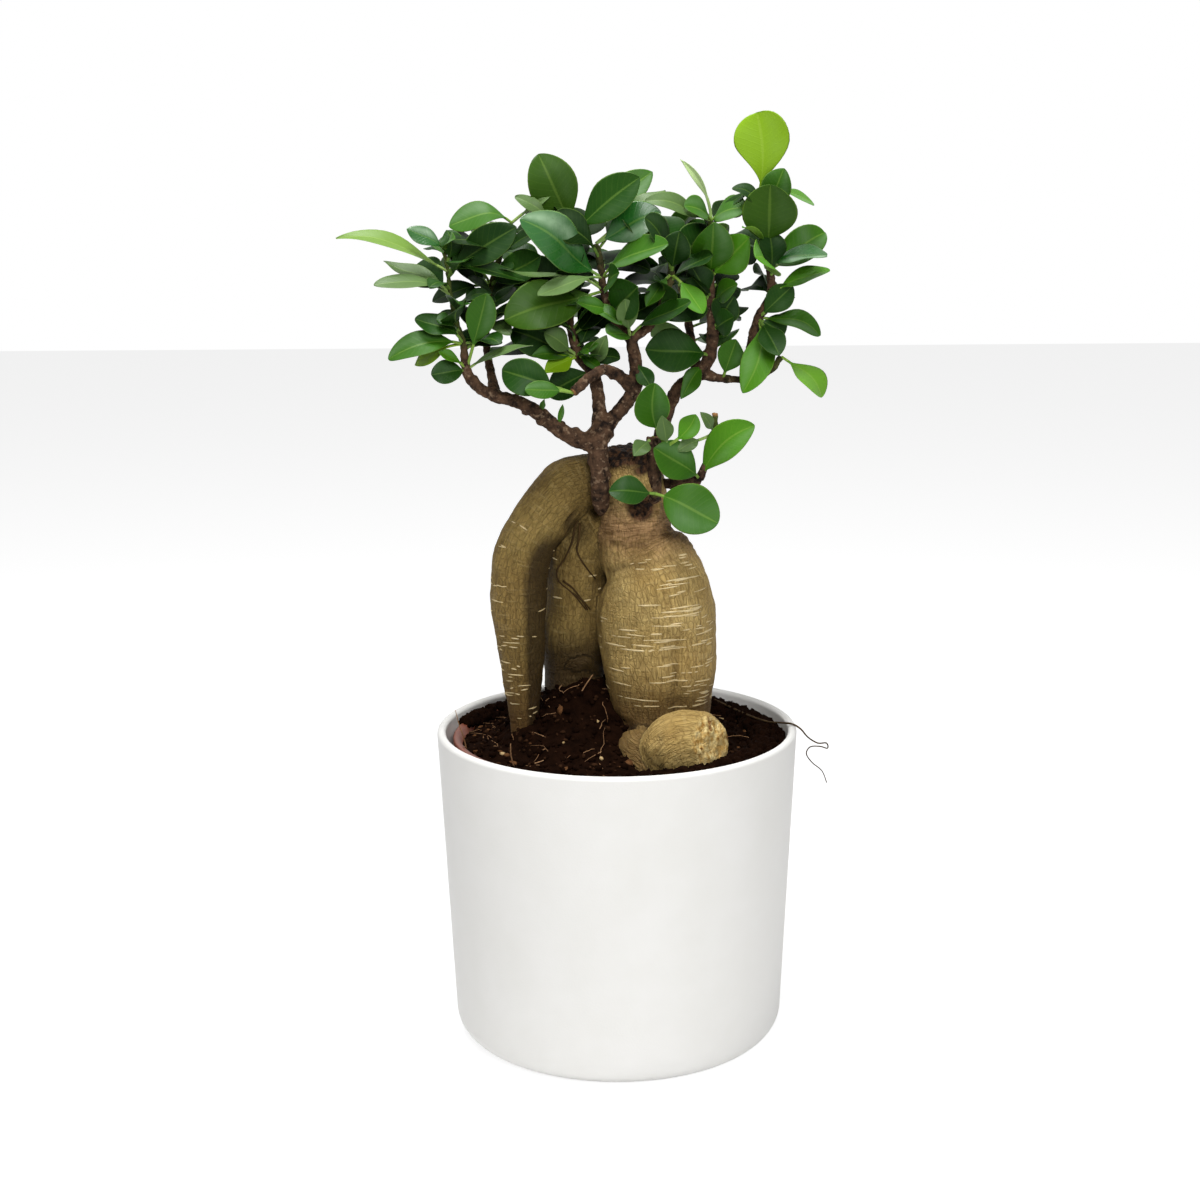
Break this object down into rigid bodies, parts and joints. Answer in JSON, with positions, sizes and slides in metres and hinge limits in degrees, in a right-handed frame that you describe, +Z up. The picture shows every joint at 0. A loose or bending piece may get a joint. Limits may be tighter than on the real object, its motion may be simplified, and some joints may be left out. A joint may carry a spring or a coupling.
{
  "type": "ginseng ficus bonsai in its pot",
  "caption": "Potted ginseng ficus bonsai: swollen legged rootstock, grafted dark stems, glossy oval leaves, soil, nursery pot and plain white round outer pot.",
  "frame": {"origin": "centre of the outer pot's flat underside, on the surface it stands on", "axes": "+Z up out of the pot, -Y towards the front of the plant, +X to the viewer's right"},
  "size_m": [0.1913, 0.145, 0.3691],
  "materials": {
    "white_glaze": "satin",
    "brown_plastic": "matte",
    "peat": "matte",
    "root_bark": "satin",
    "twig_bark": "matte",
    "thin_root": "matte",
    "leaf_green": "gloss",
    "leaf_young": "satin",
    "leaf_dull": "satin"
  },
  "bodies": {
    "root": {"cut_stem": "twig_bark", "front_stem": "twig_bark", "leaf_back_1": "leaf_green", "leaf_back_left_1": "leaf_green", "leaf_back_left_top_1": "leaf_green", "leaf_back_right_1": "leaf_green", "leaf_back_top_1": "leaf_green", "leaf_behind_1": "leaf_green", "leaf_behind_2": "leaf_green", "leaf_behind_top_1": "leaf_green", "leaf_bud_1": "leaf_green", "leaf_bud_2": "leaf_green", "leaf_fork_1": "leaf_green", "leaf_heart_1": "leaf_green", "leaf_heart_2": "leaf_green", "leaf_heart_3": "leaf_dull", "leaf_heart_low_1": "leaf_green", "leaf_heart_mid_1": "leaf_green", "leaf_heart_top_1": "leaf_green", "leaf_left_crown_1": "leaf_dull", "leaf_left_crown_2": "leaf_green", "leaf_left_end_1": "leaf_green", "leaf_left_end_2": "leaf_green", "leaf_left_end_3": "leaf_dull", "leaf_left_limb_1": "leaf_green", "leaf_left_peak_1": "leaf_green", "leaf_left_shoot_1": "leaf_dull", "leaf_left_shoot_2": "leaf_dull", "leaf_middle_1": "leaf_green", "leaf_middle_2": "leaf_green", "leaf_middle_3": "leaf_green", "leaf_right_crown_1": "leaf_young", "leaf_right_crown_2": "leaf_green", "leaf_right_end_1": "leaf_young", "leaf_right_fork_1": "leaf_green", "leaf_right_low_1": "leaf_green", "leaf_right_low_2": "leaf_green", "leaf_right_mid_1": "leaf_green", "leaf_right_mid_2": "leaf_green", "leaf_right_neck_1": "leaf_green", "leaf_right_rise_1": "leaf_green", "leaf_right_rise_2": "leaf_green", "leaf_right_shoulder_1": "leaf_green", "leaf_right_shoulder_2": "leaf_green", "leaf_right_shoulder_3": "leaf_green", "leaf_right_top_1": "leaf_green", "leaf_right_top_2": "leaf_dull", "leaf_right_top_3": "leaf_dull", "leaf_sprout_1": "leaf_green", "leaf_stub_1": "leaf_green", "leaf_stub_2": "leaf_green", "leaf_twig_1": "leaf_green", "leaf_twig_2": "leaf_green", "low_twig": "twig_bark", "nursery_pot": "brown_plastic", "outer_pot": "white_glaze", "right_stem": "twig_bark", "rootstock": "root_bark", "soil": "peat", "surface_root": "thin_root"}
  },
  "joints": []
}
